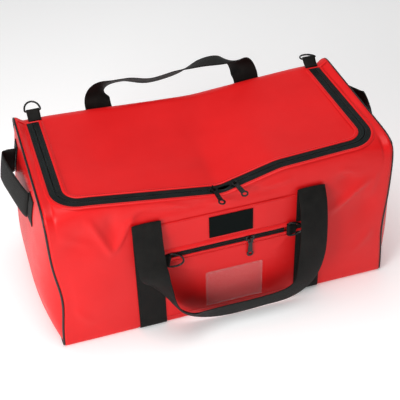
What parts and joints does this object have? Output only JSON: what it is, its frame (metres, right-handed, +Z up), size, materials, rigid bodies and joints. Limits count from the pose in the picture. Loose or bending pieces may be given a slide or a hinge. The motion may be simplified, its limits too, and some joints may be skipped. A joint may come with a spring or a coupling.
{
  "type": "fire blanket holdall",
  "caption": "Red coated-fabric holdall for a folded vehicle fire blanket, with U-zip lid, zipped front pocket, webbing handles and D-rings",
  "frame": {"origin": "middle of the underside of the base, on the surface that the bag stands on", "axes": "+X along the length to the right, -Y to the front with the pocket, +Z up"},
  "size_m": [0.6861, 0.4283, 0.3212],
  "materials": {
    "black_coated_metal": "black enamelled die-cast zinc and steel wire",
    "black_piping": "black extruded PVC piping, satin",
    "black_webbing": "woven black polypropylene webbing, ribbed, slight sheen",
    "clear_vinyl": "clear flexible vinyl window, welded edge",
    "coated_glass_cloth": "coated woven glass-fibre cloth, folded",
    "grey_board": "grey stiffening board",
    "hook_and_loop": "black loop pile of hook-and-loop tape",
    "red_coated_fabric": "PVC-coated polyester, semi-gloss, bright red",
    "zip_tape": "woven black polyester zip tape",
    "zip_teeth": "black nylon zip coil"
  },
  "bodies": {
    "bag": {"front_panel": "red_coated_fabric", "back_panel": "red_coated_fabric", "base_panel": "red_coated_fabric", "left_top_strip": "red_coated_fabric", "right_top_strip": "red_coated_fabric", "left_end_panel": "red_coated_fabric", "left_piping": "black_piping", "right_end_panel": "red_coated_fabric", "right_piping": "black_piping", "body_zip_tape": "zip_tape", "body_zip_coil": "zip_teeth", "pocket_panel": "red_coated_fabric", "pocket_top_band": "red_coated_fabric", "pocket_zip_tape_lower": "zip_tape", "pocket_zip_coil_lower": "zip_teeth", "pocket_zip_tape_upper": "zip_tape", "pocket_zip_coil_upper": "zip_teeth", "hook_patch": "hook_and_loop", "id_window": "clear_vinyl", "left_girth_strap": "black_webbing", "right_girth_strap": "black_webbing", "left_end_handle_tail_back": "black_webbing", "left_end_handle_tail_front": "black_webbing", "right_end_handle_tail_back": "black_webbing", "right_end_handle_tail_front": "black_webbing", "top_ring_tab_left": "black_webbing", "top_ring_tab_right": "black_webbing", "pocket_ring_tab_left": "black_webbing", "pocket_ring_tab_right": "black_webbing", "base_board": "grey_board", "folded_blanket": "coated_glass_cloth", "blanket_loop_left": "black_webbing", "blanket_loop_right": "black_webbing"},
    "lid": {"lid_panel": "red_coated_fabric", "lid_zip_tape": "zip_tape", "lid_zip_coil": "zip_teeth"},
    "lid_slider_left": {"lid_slider_left": "black_coated_metal"},
    "lid_slider_right": {"lid_slider_right": "black_coated_metal"},
    "lid_puller_left": {"lid_puller_left": "black_coated_metal"},
    "lid_puller_right": {"lid_puller_right": "black_coated_metal"},
    "pocket_slider": {"pocket_slider": "black_coated_metal"},
    "pocket_puller": {"pocket_puller": "black_coated_metal"},
    "front_handle": {"front_handle": "black_webbing"},
    "back_handle": {"back_handle": "black_webbing"},
    "left_end_handle": {"left_end_handle": "black_webbing"},
    "right_end_handle": {"right_end_handle": "black_webbing"},
    "top_ring_left": {"top_ring_left": "black_coated_metal"},
    "top_ring_right": {"top_ring_right": "black_coated_metal"},
    "pocket_ring_left": {"pocket_ring_left": "black_coated_metal"},
    "pocket_ring_right": {"pocket_ring_right": "black_coated_metal"}
  },
  "joints": [
    {"name": "lid_fold", "type": "hinge", "parent": "bag", "child": "lid", "pos_m": [0, 0.128, 0.2935], "axis": [-1, 0, 0], "range_deg": [0, 105]},
    {"name": "lid_slider_left_slide", "type": "slide", "parent": "lid", "child": "lid_slider_left", "axis": [-0.9919, 0.0408, 0.1202], "range_m": [-0.004, 0.2]},
    {"name": "lid_puller_left_swing", "type": "hinge", "parent": "lid_slider_left", "child": "lid_puller_left", "pos_m": [-0.01848, -0.14549, 0.27735], "axis": [-0.9861, -0.116, 0.1188], "range_deg": [0, 150]},
    {"name": "lid_slider_right_slide", "type": "slide", "parent": "lid", "child": "lid_slider_right", "axis": [0.975, 0.0506, 0.2162], "range_m": [-0.01, 0.07]},
    {"name": "lid_puller_right_swing", "type": "hinge", "parent": "lid_slider_right", "child": "lid_puller_right", "pos_m": [0.01807, -0.14475, 0.28124], "axis": [-0.9549, -0.2062, -0.2135], "range_deg": [0, 150]},
    {"name": "pocket_slider_slide", "type": "slide", "parent": "bag", "child": "pocket_slider", "axis": [1, 0, 0], "range_m": [-0.105, 0.05]},
    {"name": "pocket_puller_swing", "type": "hinge", "parent": "pocket_slider", "child": "pocket_puller", "pos_m": [0.041, -0.1682, 0.165], "axis": [-1, 0, 0], "range_deg": [0, 150]},
    {"name": "front_handle_swing", "type": "hinge", "parent": "bag", "child": "front_handle", "pos_m": [0, -0.16585, 0.2465], "axis": [-1, 0, 0], "range_deg": [0, 145]},
    {"name": "back_handle_swing", "type": "hinge", "parent": "bag", "child": "back_handle", "pos_m": [0, 0.16455, 0.2465], "axis": [-1, 0, 0], "range_deg": [-12, 108]},
    {"name": "left_end_handle_lift", "type": "hinge", "parent": "bag", "child": "left_end_handle", "pos_m": [-0.30951, 0, 0.28], "axis": [0, 1, 0], "range_deg": [0, 70]},
    {"name": "right_end_handle_lift", "type": "hinge", "parent": "bag", "child": "right_end_handle", "pos_m": [0.30951, 0, 0.28], "axis": [0, -1, 0], "range_deg": [0, 70]},
    {"name": "top_ring_left_swing", "type": "hinge", "parent": "bag", "child": "top_ring_left", "pos_m": [-0.271, 0.149, 0.30488], "axis": [1, 0, 0], "range_deg": [-24, 72]},
    {"name": "top_ring_right_swing", "type": "hinge", "parent": "bag", "child": "top_ring_right", "pos_m": [0.275, 0.149, 0.30529], "axis": [1, 0, 0], "range_deg": [-8, 96]},
    {"name": "pocket_ring_left_swing", "type": "hinge", "parent": "bag", "child": "pocket_ring_left", "pos_m": [-0.10834, -0.1665, 0.15765], "axis": [-0.2079, 0, -0.9781], "range_deg": [0, 76]},
    {"name": "pocket_ring_right_swing", "type": "hinge", "parent": "bag", "child": "pocket_ring_right", "pos_m": [0.1132, -0.1665, 0.165], "axis": [0, 0, -1], "range_deg": [0, 110]}
  ]
}
